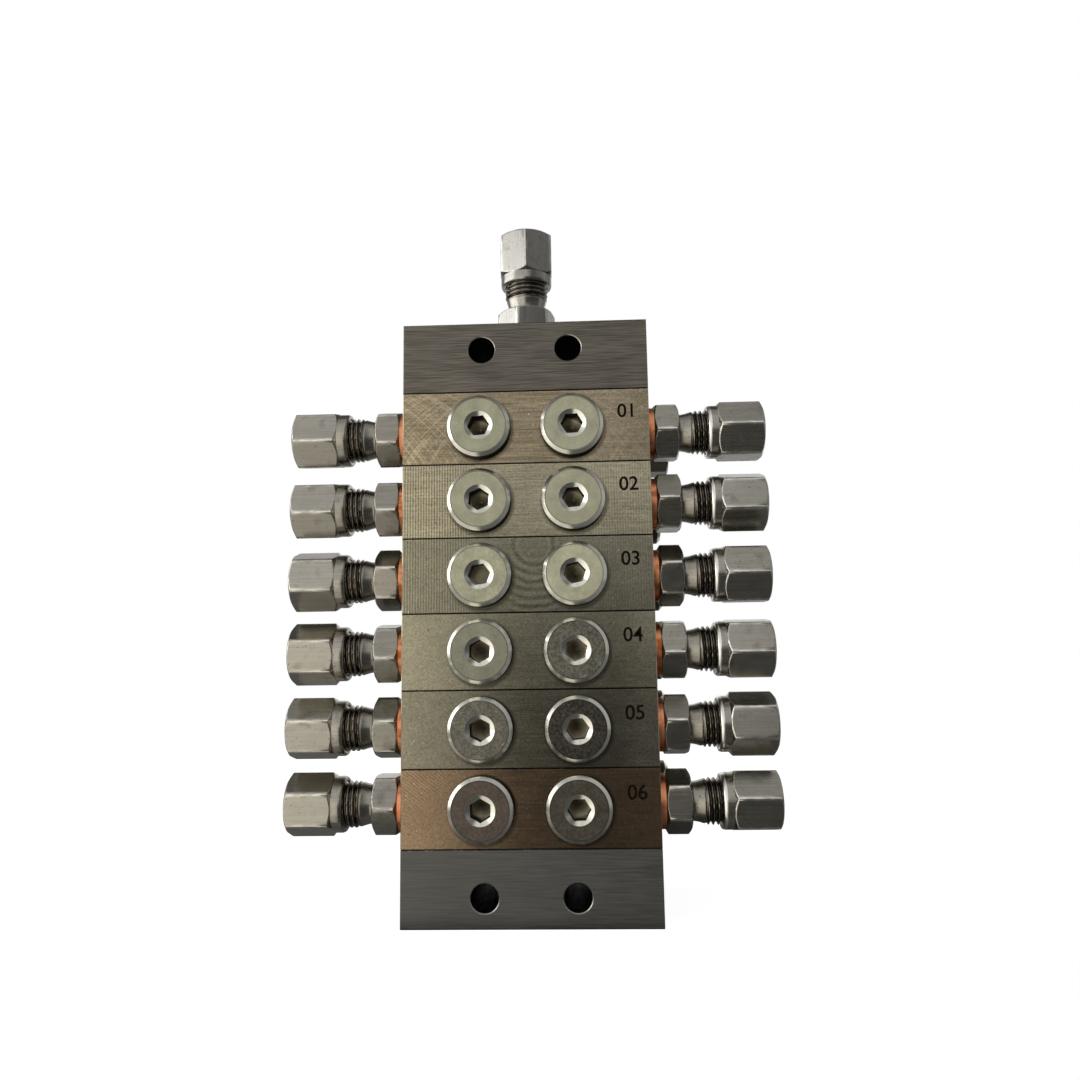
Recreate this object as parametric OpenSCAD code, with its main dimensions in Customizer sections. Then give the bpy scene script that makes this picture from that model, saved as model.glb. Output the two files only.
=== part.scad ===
// Lubricant divider block: an inlet section, six valve sections and an end section on three tie rods.
// A piston slides across each valve section and meters grease to an outlet on its left and right.
// X runs across the block, +Y points out of the mounting face and +Z points up to the inlet.
// The origin is on the mounting face, in the middle of the four mounting holes.

/* [Sections] */
// Width of every section, side face to side face
body_w = 76.2; // [72:0.1:100]
// Depth of every section, front face to mounting face
body_d = 50.8; // [49:0.1:70]
// Height of one valve section
section_h = 22.86; // [22:0.02:32]
// Height of the inlet section and of the end section
end_h = 22.2; // [21:0.1:32]
// Bevel along every edge of a section
edge_bevel = 0.2; // [0.1:0.1:0.8]

/* [Mounting holes] */
// Diameter of the four mounting holes
mount_hole_d = 8.2; // [6:0.1:9]
// Distance between the two holes of one section
mount_spacing = 27; // [25:0.5:32]
// Height of a mounting hole above the joint with the valve sections
mount_rise = 13.6; // [9:0.1:14]
// Bevel at the front mouth of a mounting hole
mount_bevel = 0.3; // [0.2:0.1:1]

/* [Tie rods] */
// Diameter of a tie rod
rod_d = 5; // [4:0.5:6]
// Play between a tie rod and its hole, all round
rod_play = 0.3; // [0.2:0.05:0.4]
// Distance of the two front rods from the side faces
rod_side_inset = 8.1; // [7.5:0.1:10]
// Depth of the two front rods behind the front face
rod_front_depth = 24; // [23.5:0.1:24.5]
// Distance of the rear rod from the mounting face
rod_back_inset = 6.3; // [6:0.1:7]
// Width across flats of a tie rod nut
rod_nut_af = 8; // [7:0.5:9]
// Height of a tie rod nut
rod_nut_h = 4; // [3:0.5:6]
// Length of rod that stands out of its nut
rod_tip = 1; // [0.5:0.1:2]
// Distance of a rod's end below the outer face
rod_sunk = 1.5; // [0.5:0.1:3]
// Room round a tie rod nut in its recess
rod_nut_room = 0.4; // [0.2:0.1:0.8]

/* [Pistons] */
// Depth of the piston bore behind the front face
piston_depth = 36; // [35.5:0.1:37]
// Diameter of the piston bore
piston_bore_d = 8; // [6:0.1:9]
// Running gap round a piston
piston_gap = 0.02; // [0.01:0.005:0.05]
// Travel of a piston from end to end
piston_stroke = 3.3; // [2:0.1:4]
// Space left between a piston and its plug at the end of travel
piston_end_gap = 0.3; // [0.2:0.1:0.6]
// Diameter of the two grooves of a piston
piston_groove_d = 5.2; // [4:0.1:5.6]
// Width of the land between the two grooves
centre_land_w = 5.2; // [4.8:0.1:6]
// Overlap of a land with the outlet drilling that it shuts
land_lap = 0.4; // [0.2:0.1:0.8]

/* [Passages] */
// Diameter of the feed gallery through all sections
gallery_d = 5; // [4:0.1:6]
// How far the gallery breaks into the front of the piston bore
gallery_break = 1; // [0.5:0.1:1.5]
// Diameter of the drilling from a front port to the piston bore
outlet_drill_d = 3.5; // [2.5:0.1:4]
// Diameter of the transfer drillings between neighbouring sections
transfer_d = 3; // [2:0.1:3.5]
// Distance of a transfer drilling from mid width at the joint
transfer_x = 17; // [15:0.5:18]
// Distance of a transfer drilling from mid width at the piston bore
transfer_port_x = 8; // [7:0.5:9]
// Depth of the gallery's blind end in the end section
gallery_end = 6; // [4:0.5:9]

/* [Section seals] */
// Thickness of a seal ring as squeezed in its recess
seal_t = 1.5; // [1:0.1:2]
// Gap between a seal ring and the walls of its recess
seal_gap = 0.03; // [0.02:0.01:0.05]
// Land left between a passage and the inside of its seal ring
seal_land = 1; // [0.6:0.1:1.2]

/* [Plugs] */
// Distance between the two front plugs of a section
plug_spacing = 28.6; // [26:0.1:34]
// Thread diameter of every plug
plug_thread_d = 14; // [10:0.5:14]
// Diameter of a plug's flange head
plug_head_d = 19.2; // [18.6:0.1:20]
// Height of a plug's flange head
plug_head_h = 3.8; // [3:0.1:5]
// Bevel round the rim of a flange head
plug_bevel = 1; // [0.4:0.1:1.4]
// Depth that a front plug reaches into its section
front_plug_reach = 10.5; // [9.5:0.1:11]
// Depth that a piston plug reaches into its section
piston_plug_reach = 13; // [11:0.1:14]
// Space left between a plug's end and the bottom of its thread
plug_tail_space = 1.2; // [0.8:0.1:1.5]
// Width across flats of the key socket in a flange head
key_af = 6; // [5:0.5:7]
// Depth of the key socket below the flange face
key_depth = 6.5; // [4:0.5:8]
// Diameter of the countersink at the socket's mouth
key_mouth_d = 8.8; // [8.6:0.1:11]
// Thickness of the washer under a piston plug
plug_washer_t = 1.5; // [1:0.1:2]
// Width across flats of the one hexagon head plug
hex_plug_af = 17; // [14:0.5:18]
// Height of the one hexagon head
hex_plug_h = 7.2; // [5:0.1:9]

/* [Tube fittings] */
// Depth of the outlet fittings behind the front face
outlet_depth = 12.5; // [11.5:0.1:13]
// Depth of the inlet fitting behind the front face
inlet_depth = 18.2; // [15:0.1:22]
// Thread diameter of a fitting's stud
stud_d = 12; // [10:0.5:12]
// Depth that a stud reaches into its section
stud_reach = 11; // [8:0.5:11.5]
// Space left between a stud's end and the bottom of its thread
stud_tail_space = 1; // [0.5:0.1:1.5]
// Diameter of the copper washer under a fitting
washer_d = 16.3; // [16:0.1:19]
// Thickness of the copper washer
washer_t = 2; // [1:0.1:2.5]
// Width across flats of a connector's hexagon
connector_af = 17; // [16:0.5:19]
// Height of a connector's hexagon
connector_hex_h = 7.8; // [6:0.1:10]
// Diameter of the smooth neck behind the hexagon
neck_d = 11.2; // [11:0.1:12.4]
// Length of the smooth neck
neck_l = 3.2; // [2.8:0.1:5]
// Outer diameter of the thread for the nut
thread_d = 14; // [13.5:0.1:15]
// Pitch of the thread for the nut
thread_pitch = 1.5; // [1:0.25:2]
// Turns of the thread for the nut
thread_turns = 10; // [9:1:12]
// Length of thread that shows between neck and nut
thread_show = 5.8; // [3:0.1:7]
// Diameter of the passage through a connector
passage_d = 5; // [3:0.1:5.5]
// Outer diameter of the tube that the fitting takes
tube_d = 8; // [7:0.1:8.4]
// Play round the tube in its socket
tube_play = 0.1; // [0.05:0.05:0.3]
// Length of the straight part of the tube socket
tube_seat_l = 2.8; // [2:0.1:4]
// Diameter of the connector's cone at its mouth
cone_mouth_d = 10; // [9.4:0.1:10.4]
// Width across flats of a fitting nut
nut_af = 17; // [16.5:0.5:19]
// Length of a fitting nut with its collar
nut_l = 17.5; // [16:0.1:22]
// Diameter of a fitting nut's round collar
collar_d = 16.9; // [16.2:0.1:17]
// Length of the round collar
collar_l = 3.2; // [2:0.1:5]
// Play round threads and in the cones of the fittings
thread_play = 0.1; // [0.05:0.05:0.15]

/* [Hidden] */
$fn = 96;
section_count = 6;
over = 1;
cone_angle = 12;
// Round end face of a bevelled hexagon: its radius as a share of the width across flats.
hex_face = 0.48;
chamfer_angle = 30;
collar_angle = 38;
sink_angle = 30;

// How each hexagon came to stand when it was tightened, as the turn of one corner from straight ahead.
left_hex_turns = [-18, -10, 21, -9, 16, -2];
right_hex_turns = [-5, 3, 21, -6, 11, 34];
left_nut_turns = [-11, -11, -20, 26, 18, 26];
right_nut_turns = [3, -19, 0, -7, 36, 11];
left_key_turns = [5, 84, 8, 88, 92, 90];
right_key_turns = [2, 4, 12, 80, 6, 2];
inlet_hex_turn = -46;
inlet_nut_turn = -88;

// The one piston plug with a hexagon head is on the right of this section.
hex_plug_row = 1;

rows = [1:section_count];
sides = [-1, 1];
stack_h = section_count * section_h + 2 * end_h;
joint_z = section_count * section_h / 2;
inlet_z = joint_z + end_h / 2;
plug_x = plug_spacing / 2;

// Tie rods: their places in plan and the recesses for their nuts.
rod_places = [
    [-body_w / 2 + rod_side_inset, rod_front_depth - body_d],
    [body_w / 2 - rod_side_inset, rod_front_depth - body_d],
    [0, -rod_back_inset]
];
rod_recess_d = 2 * rod_nut_af / sqrt(3) + 2 * rod_nut_room;
rod_recess_h = rod_sunk + rod_tip + rod_nut_h;
rod_l = stack_h - 2 * rod_sunk;
rod_nut_z = stack_h / 2 - rod_recess_h;

// Piston and the passages that meet its bore.
piston_y = piston_depth - body_d;
piston_d = piston_bore_d - 2 * piston_gap;
piston_l = body_w - 2 * piston_plug_reach - piston_stroke - 2 * piston_end_gap;
piston_bevel = 0.4;
groove_in = centre_land_w / 2;
groove_out = plug_x - outlet_drill_d / 2 + piston_stroke / 2 - land_lap;
gallery_y = piston_y - piston_bore_d / 2 - gallery_d / 2 + gallery_break;
transfer_end = [body_w / 2 - piston_plug_reach - plug_tail_space / 2, 0, -plug_thread_d / 2 + transfer_d / 2];

// Passages that cross each joint, with their diameters.
joint_passages = [
    [0, gallery_y, gallery_d],
    [-transfer_x, piston_y, transfer_d],
    [transfer_x, piston_y, transfer_d]
];
recess_t = seal_t + 2 * seal_gap;

// Ports under the front plugs: a seal ring lies in a recess round the thread.
plug_undercut = 0.8;
plug_seal_inner_d = plug_thread_d - 2 * plug_undercut;
plug_recess_d = plug_seal_inner_d + 2 * seal_t + 4 * seal_gap;

// Tube fitting: stations along its axis, counted from the face that it is screwed into.
neck_u = washer_t + connector_hex_h;
thread_u = neck_u + neck_l;
thread_end_u = thread_u + thread_turns * thread_pitch;
thread_root_d = thread_d - 1.2269 * thread_pitch;
nut_u = thread_u + thread_show;
nut_end_u = nut_u + nut_l;
tube_r = tube_d / 2 + tube_play;
cone_l = (cone_mouth_d / 2 - tube_r) / tan(cone_angle);
tube_stop_u = thread_end_u - cone_l - tube_seat_l;
tube_mouth_bevel = 0.8;
neck_flare = 2.6;

// Cutting ring: how far it reaches into the connector and out of it, and its seat in the nut.
ring_in = 2.8;
ring_out = 2.4;
ring_tail_wall = 0.3;
ring_shoulder_l = 0.6;
seat_wall = 0.2;
seat_l = 0.8;
seat_r = thread_root_d / 2 - seat_wall;
seat_u = thread_end_u + ring_out;
ring_nose_u = thread_end_u - ring_in;
ring_shoulder_r = seat_r - 2 * thread_play;
ring_tail_r = tube_r + ring_tail_wall;

// Height of the middle of a valve section, counted from the top.
function row_z(i) = ((section_count + 1) / 2 - i) * section_h;

// Radius of the connector's cone at a station along its axis.
function cone_r(u) = cone_mouth_d / 2 - (thread_end_u - u) * tan(cone_angle);

// Places its children on the front face, their +Z pointing out of it.
module on_front(x, z) {
    translate([x, -body_d, z]) rotate([90, 0, 0]) children();
}

// Places its children on a side face, their +Z pointing out of it.
module on_side(side, depth, z) {
    translate([side * body_w / 2, depth - body_d, z]) rotate([0, side * 90, 0]) children();
}

// Places its children on the top face over the inlet port.
module on_top() {
    translate([0, inlet_depth - body_d, stack_h / 2]) children();
}

// Turns a hexagon on a side face, so that a corner stands at this angle above straight ahead.
module turned(side, angle) {
    rotate([0, 0, -90 - side * angle]) children();
}

// A rectangle with bevelled corners, centred.
module bevelled_rectangle(w, h, bevel) {
    x = w / 2;
    y = h / 2;
    polygon([
        [bevel - x, -y], [x - bevel, -y], [x, bevel - y], [x, y - bevel],
        [x - bevel, y], [bevel - x, y], [-x, y - bevel], [-x, bevel - y]
    ]);
}

// A ground steel section with every edge bevelled, centred in width and height, its back at y = 0.
module section_block(h) {
    translate([0, -body_d / 2, 0]) intersection() {
        linear_extrude(h, center = true) bevelled_rectangle(body_w, body_d, edge_bevel);
        rotate([90, 0, 0]) linear_extrude(body_d, center = true) bevelled_rectangle(body_w, h, edge_bevel);
        rotate([0, 90, 0]) linear_extrude(body_w, center = true) bevelled_rectangle(h, body_d, edge_bevel);
    }
}

// A straight drilling between two points, begun a little before the first.
module slanted_drill(from, to, d) {
    run = to - from;
    reach = norm(run);
    translate(from)
        rotate([0, acos(run[2] / reach), atan2(run[1], run[0])])
        translate([0, 0, -over])
        cylinder(d = d, h = reach + over);
}

// Holes for the three tie rods.
module rod_holes(h) {
    for (p = rod_places)
        translate([p[0], p[1], -h / 2 - over]) cylinder(d = rod_d + 2 * rod_play, h = h + 2 * over);
}

// Recesses that hide the tie rod nuts below the upper face of a section.
module rod_recesses(h) {
    for (p = rod_places)
        translate([p[0], p[1], h / 2 - rod_recess_h]) cylinder(d = rod_recess_d, h = rod_recess_h + over);
}

// A bevel at the mouth of a hole whose edge lies on z = 0, cut down from there.
module mouth_bevel(d, bevel) {
    translate([0, 0, -bevel]) cylinder(d1 = d, d2 = d + 2 * bevel + 2 * over, h = bevel + over);
}

// The two mounting holes of an inlet or end section, bevelled at the front and deburred at the back.
module mounting_holes(z) {
    for (side = sides)
        translate([side * mount_spacing / 2, 0, z]) rotate([90, 0, 0]) {
            translate([0, 0, -over]) cylinder(d = mount_hole_d, h = body_d + 2 * over);
            translate([0, 0, body_d]) mouth_bevel(mount_hole_d, mount_bevel);
            mirror([0, 0, 1]) mouth_bevel(mount_hole_d, edge_bevel);
        }
}

// Radius to the middle of a seal ring round a passage.
function seal_r(passage) = passage / 2 + seal_land + seal_t / 2;

// Recesses for the seal rings in the upper face of a section.
module seal_recesses(h) {
    for (p = joint_passages)
        translate([p[0], p[1], h / 2 - recess_t])
            cylinder(r = seal_r(p[2]) + seal_t / 2 + seal_gap, h = recess_t + over);
}

// A seal ring lying on z = 0.
module seal_ring(r) {
    translate([0, 0, seal_t / 2]) rotate_extrude() translate([r, 0]) circle(d = seal_t);
}

// A hexagon bar on z = 0 whose ends are bevelled to round faces of two given radii.
module bevelled_hexagon(af, h, low_r, high_r, low_angle = chamfer_angle) {
    corner = af / sqrt(3) + over;
    intersection() {
        cylinder(r = af / sqrt(3), h = h, $fn = 6);
        rotate_extrude() polygon([
            [0, 0], [low_r, 0], [corner, (corner - low_r) * tan(low_angle)],
            [corner, h - (corner - high_r) * tan(chamfer_angle)], [high_r, h], [0, h]
        ]);
    }
}

// Key socket of a flange plug: a countersunk hexagon with a drilled point, down from z = 0.
module key_socket(turn) {
    corner_d = 2 * key_af / sqrt(3);
    drill_d = 0.9 * key_af;
    sink = (key_mouth_d - drill_d) / 2 * tan(sink_angle);
    outer_d = key_mouth_d + 2 * over / tan(sink_angle);
    rotate([0, 0, turn]) translate([0, 0, -key_depth]) cylinder(d = corner_d, h = key_depth + over, $fn = 6);
    translate([0, 0, -sink]) cylinder(d1 = drill_d, d2 = outer_d, h = sink + over);
    translate([0, 0, -key_depth - drill_d / 4]) cylinder(d1 = 0, d2 = drill_d, h = drill_d / 4);
}

// Threaded shank of a plug below z = 0, undercut at its top where a seal or washer lies.
module plug_shank(reach, undercut) {
    r = plug_thread_d / 2;
    neck_r = plug_seal_inner_d / 2 - seal_gap;
    lead = 1;
    rotate_extrude() polygon([
        [0, -reach], [r - lead, -reach], [r, lead - reach], [r, -undercut], [neck_r, -undercut],
        [neck_r, 0], [0, 0]
    ]);
}

// A plug with a round flange head that sits on z = 0.
module flange_plug(reach, undercut, turn) {
    r = plug_head_d / 2;
    relief = 0.3;
    difference() {
        union() {
            plug_shank(reach, undercut);
            rotate_extrude() polygon([
                [0, 0], [r - relief, 0], [r, relief], [r, plug_head_h - plug_bevel],
                [r - plug_bevel, plug_head_h], [0, plug_head_h]
            ]);
        }
        translate([0, 0, plug_head_h]) key_socket(turn);
    }
}

module inlet_section() {
    port_floor = stud_reach + stud_tail_space;
    port_y = inlet_depth - body_d;
    color("#5c584f") translate([0, 0, inlet_z]) difference() {
        section_block(end_h);
        rod_holes(end_h);
        rod_recesses(end_h);
        mounting_holes(mount_rise - end_h / 2);
        translate([0, port_y, end_h / 2 - port_floor])
            cylinder(d = stud_d + 2 * thread_play, h = port_floor + over);
        slanted_drill([0, gallery_y, -end_h / 2], [0, port_y, end_h / 2 - port_floor + over], gallery_d);
    }
}

module valve_section(i) {
    port_floor = stud_reach + stud_tail_space;
    color("#77725f") translate([0, 0, row_z(i)]) difference() {
        section_block(section_h);
        rod_holes(section_h);
        seal_recesses(section_h);
        translate([0, gallery_y, -section_h / 2 - over]) cylinder(d = gallery_d, h = section_h + 2 * over);
        for (side = sides) {
            on_side(side, piston_depth, 0)
                translate([0, 0, -body_w / 2]) cylinder(d = piston_bore_d, h = body_w / 2 + over);
            on_side(side, piston_depth, 0)
                translate([0, 0, -piston_plug_reach - plug_tail_space])
                cylinder(d = plug_thread_d + 2 * thread_play, h = piston_plug_reach + plug_tail_space + over);
            on_side(side, outlet_depth, 0)
                translate([0, 0, -port_floor]) cylinder(d = stud_d + 2 * thread_play, h = port_floor + over);
            on_side(side, outlet_depth, 0)
                translate([0, 0, plug_x - body_w / 2]) cylinder(d = passage_d, h = body_w / 2 - plug_x);
            on_front(side * plug_x, 0)
                translate([0, 0, -front_plug_reach - plug_tail_space])
                cylinder(d = plug_thread_d + 2 * thread_play, h = front_plug_reach + plug_tail_space + over);
            on_front(side * plug_x, 0)
                translate([0, 0, -recess_t]) cylinder(d = plug_recess_d, h = recess_t + over);
            on_front(side * plug_x, 0)
                translate([0, 0, -piston_depth]) cylinder(d = outlet_drill_d, h = piston_depth);
            translate([0, piston_y, 0]) mirror([side < 0 ? 1 : 0, 0, 0]) {
                slanted_drill([transfer_x, 0, section_h / 2], [transfer_port_x, 0, 0], transfer_d);
                slanted_drill([transfer_x, 0, -section_h / 2], transfer_end, transfer_d);
            }
        }
    }
}

module end_section() {
    color("#55544f") translate([0, 0, -inlet_z]) difference() {
        section_block(end_h);
        rod_holes(end_h);
        mirror([0, 0, 1]) rod_recesses(end_h);
        mounting_holes(end_h / 2 - mount_rise);
        seal_recesses(end_h);
        for (p = joint_passages)
            translate([p[0], p[1], end_h / 2 - gallery_end]) cylinder(d = p[2], h = gallery_end + over);
    }
}

module piston(i) {
    r = piston_d / 2;
    half = piston_l / 2;
    g = piston_groove_d / 2;
    color("#b9b9b4") translate([-piston_stroke / 2, piston_y, row_z(i)]) rotate([0, 90, 0])
        rotate_extrude() polygon([
            [0, -half], [r - piston_bevel, -half], [r, piston_bevel - half], [r, -groove_out],
            [g, -groove_out], [g, -groove_in], [r, -groove_in], [r, groove_in], [g, groove_in],
            [g, groove_out], [r, groove_out], [r, half - piston_bevel], [r - piston_bevel, half], [0, half]
        ]);
}

module front_plugs(i) {
    color("#a8a692") {
        on_front(-plug_x, row_z(i)) flange_plug(front_plug_reach, recess_t, left_key_turns[i - 1]);
        on_front(plug_x, row_z(i)) flange_plug(front_plug_reach, recess_t, right_key_turns[i - 1]);
    }
}

module front_plug_seals() {
    r = (plug_recess_d - seal_t) / 2 - seal_gap;
    color("#1d1d1d")
        for (i = rows, side = sides)
            on_front(side * plug_x, row_z(i)) translate([0, 0, -recess_t + seal_gap]) seal_ring(r);
}

module piston_plugs(side) {
    color("#a8a692")
        for (i = rows)
            if (side < 0 || i != hex_plug_row)
                on_side(side, piston_depth, row_z(i))
                    translate([0, 0, plug_washer_t])
                    flange_plug(piston_plug_reach + plug_washer_t, plug_washer_t, 30 * i);
}

module hex_piston_plug() {
    face_r = hex_face * hex_plug_af;
    color("#8f8d86") on_side(1, piston_depth, row_z(hex_plug_row)) translate([0, 0, plug_washer_t]) {
        plug_shank(piston_plug_reach + plug_washer_t, plug_washer_t);
        turned(1, 0) bevelled_hexagon(hex_plug_af, hex_plug_h, face_r, face_r);
    }
}

module piston_plug_washers() {
    color("#8c8a84")
        for (i = rows, side = sides)
            on_side(side, piston_depth, row_z(i)) difference() {
                cylinder(d = plug_head_d, h = plug_washer_t);
                translate([0, 0, -over])
                    cylinder(d = plug_thread_d + 2 * thread_play, h = plug_washer_t + 2 * over);
            }
}

// A fitting's connector standing on z = 0: stud, hexagon, neck flared to the thread, bored for the tube.
module connector() {
    stud_r = stud_d / 2;
    root_r = thread_root_d / 2;
    crest_r = thread_d / 2;
    face_r = hex_face * connector_af;
    flank = (crest_r - root_r) * tan(30);
    flat = (thread_pitch - 2 * flank) / 2;
    ridge = [[root_r, 0], [root_r, flat], [crest_r, flat + flank], [crest_r, 2 * flat + flank]];
    difference() {
        union() {
            rotate_extrude() polygon([
                [0, -stud_reach], [stud_r - over, -stud_reach], [stud_r, over - stud_reach],
                [stud_r, washer_t + over], [0, washer_t + over]
            ]);
            translate([0, 0, washer_t]) bevelled_hexagon(connector_af, connector_hex_h, face_r, face_r);
            translate([0, 0, neck_u - over]) cylinder(d = neck_d, h = neck_l + over + thread_pitch);
            rotate_extrude() polygon(concat(
                [[0, thread_u - neck_flare], [neck_d / 2, thread_u - neck_flare], [crest_r, thread_u]],
                [for (k = [0:thread_turns - 1], p = ridge) [p[0], thread_u + k * thread_pitch + p[1]]],
                [[root_r, thread_end_u], [0, thread_end_u]]
            ));
        }
        translate([0, 0, -stud_reach - over])
            cylinder(d = passage_d, h = stud_reach + tube_stop_u + 2 * over);
        translate([0, 0, tube_stop_u]) cylinder(r = tube_r, h = thread_end_u - tube_stop_u + over);
        translate([0, 0, thread_end_u - cone_l])
            cylinder(r1 = tube_r, r2 = cone_r(thread_end_u + over), h = cone_l + over);
    }
}

// A fitting's nut in place over its connector: a hexagon with a round collar, coned inside for the ring.
module fitting_nut() {
    bore_r = thread_d / 2 + thread_play;
    hex_u = nut_u + collar_l;
    face_r = hex_face * nut_af;
    lip = 0.6;
    lip_l = 1.1;
    difference() {
        union() {
            rotate_extrude() polygon([
                [0, nut_u], [collar_d / 2 - lip, nut_u], [collar_d / 2, nut_u + lip_l],
                [collar_d / 2, hex_u + over], [0, hex_u + over]
            ]);
            translate([0, 0, hex_u])
                bevelled_hexagon(nut_af, nut_l - collar_l, collar_d / 2, face_r, collar_angle);
        }
        rotate_extrude() polygon([
            [0, nut_u - over], [bore_r, nut_u - over], [bore_r, seat_u - seat_l], [seat_r, seat_u - seat_l],
            [seat_r, seat_u], [tube_r, seat_u + seat_r - tube_r], [tube_r, nut_end_u - tube_mouth_bevel],
            [tube_r + tube_mouth_bevel + over, nut_end_u + over], [0, nut_end_u + over]
        ]);
    }
}

// The cutting ring between the connector's cone and the seat in the nut.
module cutting_ring() {
    tail_u = seat_u + seat_r - sqrt(2) * thread_play;
    rotate_extrude() polygon([
        [tube_r, ring_nose_u], [cone_r(ring_nose_u) - thread_play, ring_nose_u],
        [cone_r(thread_end_u) - thread_play, thread_end_u], [ring_shoulder_r, thread_end_u + ring_shoulder_l],
        [ring_shoulder_r, tail_u - ring_shoulder_r], [ring_tail_r, tail_u - ring_tail_r],
        [tube_r, tail_u - ring_tail_r]
    ]);
}

// The copper washer under a fitting.
module fitting_washer() {
    difference() {
        cylinder(d = washer_d, h = washer_t);
        translate([0, 0, -over]) cylinder(d = stud_d + 2 * thread_play, h = washer_t + 2 * over);
    }
}

module outlet_connector(side, i) {
    turns = side < 0 ? left_hex_turns : right_hex_turns;
    color("#6f6c64") on_side(side, outlet_depth, row_z(i)) turned(side, turns[i - 1]) connector();
}

module outlet_nut(side, i) {
    turns = side < 0 ? left_nut_turns : right_nut_turns;
    color("#77746b") on_side(side, outlet_depth, row_z(i)) turned(side, turns[i - 1]) fitting_nut();
}

module outlet_washers(side) {
    color("#b5622f")
        for (i = rows)
            on_side(side, outlet_depth, row_z(i)) fitting_washer();
}

module cutting_rings() {
    color("#8a877e") {
        on_top() cutting_ring();
        for (i = rows, side = sides)
            on_side(side, outlet_depth, row_z(i)) cutting_ring();
    }
}

module inlet_connector() {
    color("#a5a29a") on_top() rotate([0, 0, inlet_hex_turn]) connector();
}

module inlet_nut() {
    color("#aeaba3") on_top() rotate([0, 0, inlet_nut_turn]) fitting_nut();
}

module inlet_washer() {
    color("#b5622f") on_top() fitting_washer();
}

module section_seals() {
    color("#1d1d1d")
        for (k = [0:section_count], p = joint_passages)
            translate([p[0], p[1], joint_z - k * section_h - recess_t + seal_gap]) seal_ring(seal_r(p[2]));
}

module tie_rods() {
    tip = 0.5;
    r = rod_d / 2;
    h = rod_l / 2;
    color("#8f8d86")
        for (p = rod_places)
            translate([p[0], p[1], 0]) rotate_extrude() polygon([
                [0, -h], [r - tip, -h], [r, tip - h], [r, h - tip], [r - tip, h], [0, h]
            ]);
}

module tie_rod_nuts() {
    face_r = hex_face * rod_nut_af;
    color("#8f8d86")
        for (p = rod_places, end = [0, 1])
            mirror([0, 0, end]) translate([p[0], p[1], rod_nut_z]) difference() {
                bevelled_hexagon(rod_nut_af, rod_nut_h, face_r, face_r);
                translate([0, 0, -over]) cylinder(d = rod_d + 2 * thread_play, h = rod_nut_h + 2 * over);
            }
}

inlet_section();
for (i = rows) valve_section(i);
end_section();
for (i = rows) piston(i);
for (i = rows) front_plugs(i);
piston_plugs(-1);  // piston_plugs_left
piston_plugs(1);  // piston_plugs_right
hex_piston_plug();
piston_plug_washers();
for (i = rows) outlet_connector(-1, i);
for (i = rows) outlet_connector(1, i);
for (i = rows) outlet_nut(-1, i);
for (i = rows) outlet_nut(1, i);
inlet_connector();
inlet_nut();
inlet_washer();
outlet_washers(-1);  // outlet_washers_left
outlet_washers(1);  // outlet_washers_right
cutting_rings();
section_seals();
front_plug_seals();
tie_rods();
tie_rod_nuts();
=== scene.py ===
import bpy
import numpy as np
from mathutils import Matrix, Vector


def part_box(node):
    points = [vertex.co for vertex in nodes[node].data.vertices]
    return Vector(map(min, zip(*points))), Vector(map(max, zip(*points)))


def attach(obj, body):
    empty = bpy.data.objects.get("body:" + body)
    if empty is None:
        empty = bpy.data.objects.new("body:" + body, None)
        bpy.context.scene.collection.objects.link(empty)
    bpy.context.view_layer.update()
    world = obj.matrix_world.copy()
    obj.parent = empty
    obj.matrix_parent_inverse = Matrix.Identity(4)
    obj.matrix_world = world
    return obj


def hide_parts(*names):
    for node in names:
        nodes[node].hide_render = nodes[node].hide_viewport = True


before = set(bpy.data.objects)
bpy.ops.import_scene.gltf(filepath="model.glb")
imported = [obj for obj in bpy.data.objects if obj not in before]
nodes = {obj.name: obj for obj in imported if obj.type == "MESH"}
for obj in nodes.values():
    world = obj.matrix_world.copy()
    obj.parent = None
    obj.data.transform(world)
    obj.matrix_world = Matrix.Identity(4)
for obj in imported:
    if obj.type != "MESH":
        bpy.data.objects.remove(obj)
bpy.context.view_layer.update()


# Inlet section and end section
# Two ground blocks of blackened bar steel close the stack at its top and bottom. Their faces are brushed
# crosswise, each is drilled for two mounting screws, and three tie rods clamp them on the valve sections.
# Sizes of the block's pieces are in millimetres.
MM = 0.001
MOUNT_X = 13.5
MOUNT_Z = 82.18
MOUNT_R = 4.1
MOUNT_BEVEL = 0.3
STREAK_L = 9.0
STREAK_W = 0.17


class Wire:
    """A socket of a finish. Sums, products and powers of wires add Math nodes to that finish."""

    def __init__(self, tree, socket=None):
        self.tree = tree
        self.socket = socket

    def node(self, kind, settings=None, sockets=None, output=0):
        """A new node of this type: its settings are made first, then its sockets are set or linked."""
        made = self.tree.nodes.new(kind)
        for name, value in (settings or {}).items():
            setattr(made, name, value)
        for name, value in (sockets or {}).items():
            if isinstance(value, Wire):
                self.tree.links.new(value.socket, made.inputs[name])
            else:
                made.inputs[name].default_value = value
        return Wire(self.tree, made.outputs[output]) if made.outputs else None

    def math(self, operation, *values):
        """A Math node of this operation on wires or numbers."""
        return self.node("ShaderNodeMath", {"operation": operation}, dict(enumerate(values)))

    def __add__(self, other):
        return self.math("ADD", self, other)

    def __sub__(self, other):
        return self.math("SUBTRACT", self, other)

    def __rsub__(self, other):
        return self.math("SUBTRACT", other, self)

    def __mul__(self, other):
        return self.math("MULTIPLY", self, other)

    def __pow__(self, other):
        return self.math("POWER", self, other)

    def __abs__(self):
        return self.math("ABSOLUTE", self)

    __radd__ = __add__
    __rmul__ = __mul__


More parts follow.
